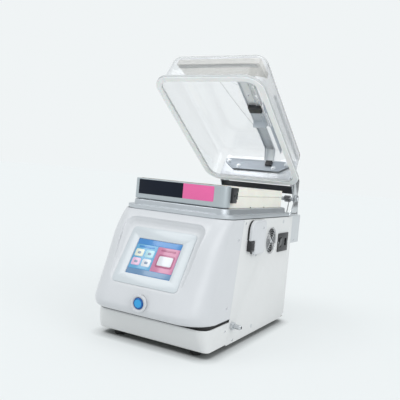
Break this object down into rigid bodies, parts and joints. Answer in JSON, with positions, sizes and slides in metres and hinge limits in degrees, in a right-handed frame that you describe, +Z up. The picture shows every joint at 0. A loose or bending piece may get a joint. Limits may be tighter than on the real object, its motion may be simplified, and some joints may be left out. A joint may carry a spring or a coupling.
{
  "type": "vacuum packing machine",
  "caption": "Tabletop chamber vacuum packing machine: clear domed lid on swinging hinge arms, lifting seal bar, touch screen in a leaning front, vacuum pump inside a painted sheet body.",
  "frame": {"origin": "centre of the machine's footprint on the surface it stands on, with the lid open", "axes": "+X to the machine's right side, the side with the fan and power inlet, +Y to the back, where the lid is hinged, +Z up"},
  "size_m": [0.3858, 0.7996, 0.8314],
  "materials": {
    "white_paint": "smooth satin white paint and moulded plastic",
    "light_grey_paint": "light grey satin paint",
    "aluminium": "satin anodised",
    "stainless": "bright stainless steel",
    "zinc": "zinc plated sheet",
    "spring": "dark spring steel wire",
    "clear_acrylic": "clear acrylic",
    "white_silicone": "soft white silicone",
    "cream_plastic": "cream polyethylene",
    "black_plastic": "matt black moulding",
    "black_rubber": "black rubber",
    "screen": "smooth touch screen",
    "blue_plastic": "blue push button",
    "nichrome": "nichrome strip",
    "cast_aluminium": "grey painted aluminium casting",
    "core_steel": "varnished laminated steel",
    "board": "green circuit board",
    "hose": "grey rubber hose"
  },
  "bodies": {
    "base": {"front_cover": "white_paint", "lower_front_cover": "white_paint", "side_panel_left": "white_paint", "side_panel_right": "white_paint", "display_bezel": "white_paint", "touch_screen": "screen", "button_ring": "white_paint", "air_cowl": "white_paint", "rear_panel": "light_grey_paint", "rear_hinge_box": "light_grey_paint", "base_pan": "zinc", "foot_front_left": "black_rubber", "foot_front_right": "black_rubber", "foot_rear_left": "black_rubber", "foot_rear_right": "black_rubber", "chamber_tray": "aluminium", "seal_cylinder_left": "aluminium", "seal_cylinder_right": "aluminium", "hinge_stand_left": "stainless", "hinge_stand_right": "stainless", "lid_spring_left": "spring", "lid_spring_right": "spring", "fan_guard": "stainless", "fan_frame": "black_plastic", "power_inlet": "black_plastic", "hose_barb": "stainless", "vacuum_pump": "cast_aluminium", "pump_motor": "cast_aluminium", "motor_mount": "zinc", "vacuum_hose": "hose", "vent_valve": "black_plastic", "seal_transformer": "core_steel", "control_board": "board"},
    "hinge_arms": {"hinge_cover": "black_plastic", "lid_arm_left": "stainless", "lid_arm_right": "stainless", "hinge_shaft": "stainless", "tilt_rod": "stainless"},
    "lid": {"lid_shell": "clear_acrylic", "lid_gasket": "white_silicone", "press_bar": "cream_plastic", "press_silicone": "black_rubber", "lid_inner_plate": "stainless", "lid_brace": "stainless", "lid_side_link": "stainless", "lid_hinge_plate": "stainless", "lid_ear_left": "stainless", "lid_ear_right": "stainless"},
    "seal_bar_unit": {"seal_bar": "aluminium", "heating_strip": "nichrome", "seal_clamp_left": "black_plastic", "seal_clamp_right": "black_plastic", "seal_piston_left": "stainless", "seal_piston_right": "stainless"},
    "filler": {"filler_block": "cream_plastic"},
    "button": {"start_button": "blue_plastic"},
    "rocker": {"breaker_rocker": "black_plastic"},
    "fan": {"fan_rotor": "black_plastic"},
    "pump_shaft": {"motor_shaft": "stainless"}
  },
  "joints": [
    {"name": "hinge_arm_swing", "type": "hinge", "parent": "base", "child": "hinge_arms", "pos_m": [-0.0129, 0.3448, 0.414], "axis": [1, 0, 0], "range_deg": [0, 75], "stiffness_Nm_per_rad": 4, "springref_deg": -171.89},
    {"name": "lid_tilt", "type": "hinge", "parent": "hinge_arms", "child": "lid", "pos_m": [-0.0129, 0.30866, 0.47161], "axis": [1, 0, 0], "range_deg": [-42.01, 0]},
    {"name": "seal_bar_lift", "type": "slide", "parent": "base", "child": "seal_bar_unit", "axis": [0, 0, 1], "range_m": [0, 0.007]},
    {"name": "filler_block_lift", "type": "slide", "parent": "base", "child": "filler", "axis": [0, 0, 1], "range_m": [0, 0.02]},
    {"name": "start_button_press", "type": "slide", "parent": "base", "child": "button", "axis": [0, 1, 0], "range_m": [0, 0.003], "stiffness_N_per_m": 500, "springref_m": -0.002},
    {"name": "breaker_rocker_tilt", "type": "hinge", "parent": "base", "child": "rocker", "pos_m": [0.1609, 0.1348, 0.277], "axis": [0, 1, 0], "range_deg": [0, 16]},
    {"name": "fan_spin", "type": "hinge", "parent": "base", "child": "fan", "pos_m": [0.1523, 0.0548, 0.288], "axis": [1, 0, 0], "continuous": true},
    {"name": "pump_shaft_spin", "type": "hinge", "parent": "base", "child": "pump_shaft", "pos_m": [-0.0829, -0.0102, 0.088], "axis": [0, 1, 0], "continuous": true}
  ],
  "couplings": [
    {"joint": "lid_tilt", "follows": "hinge_arm_swing", "ratio": -0.56}
  ]
}
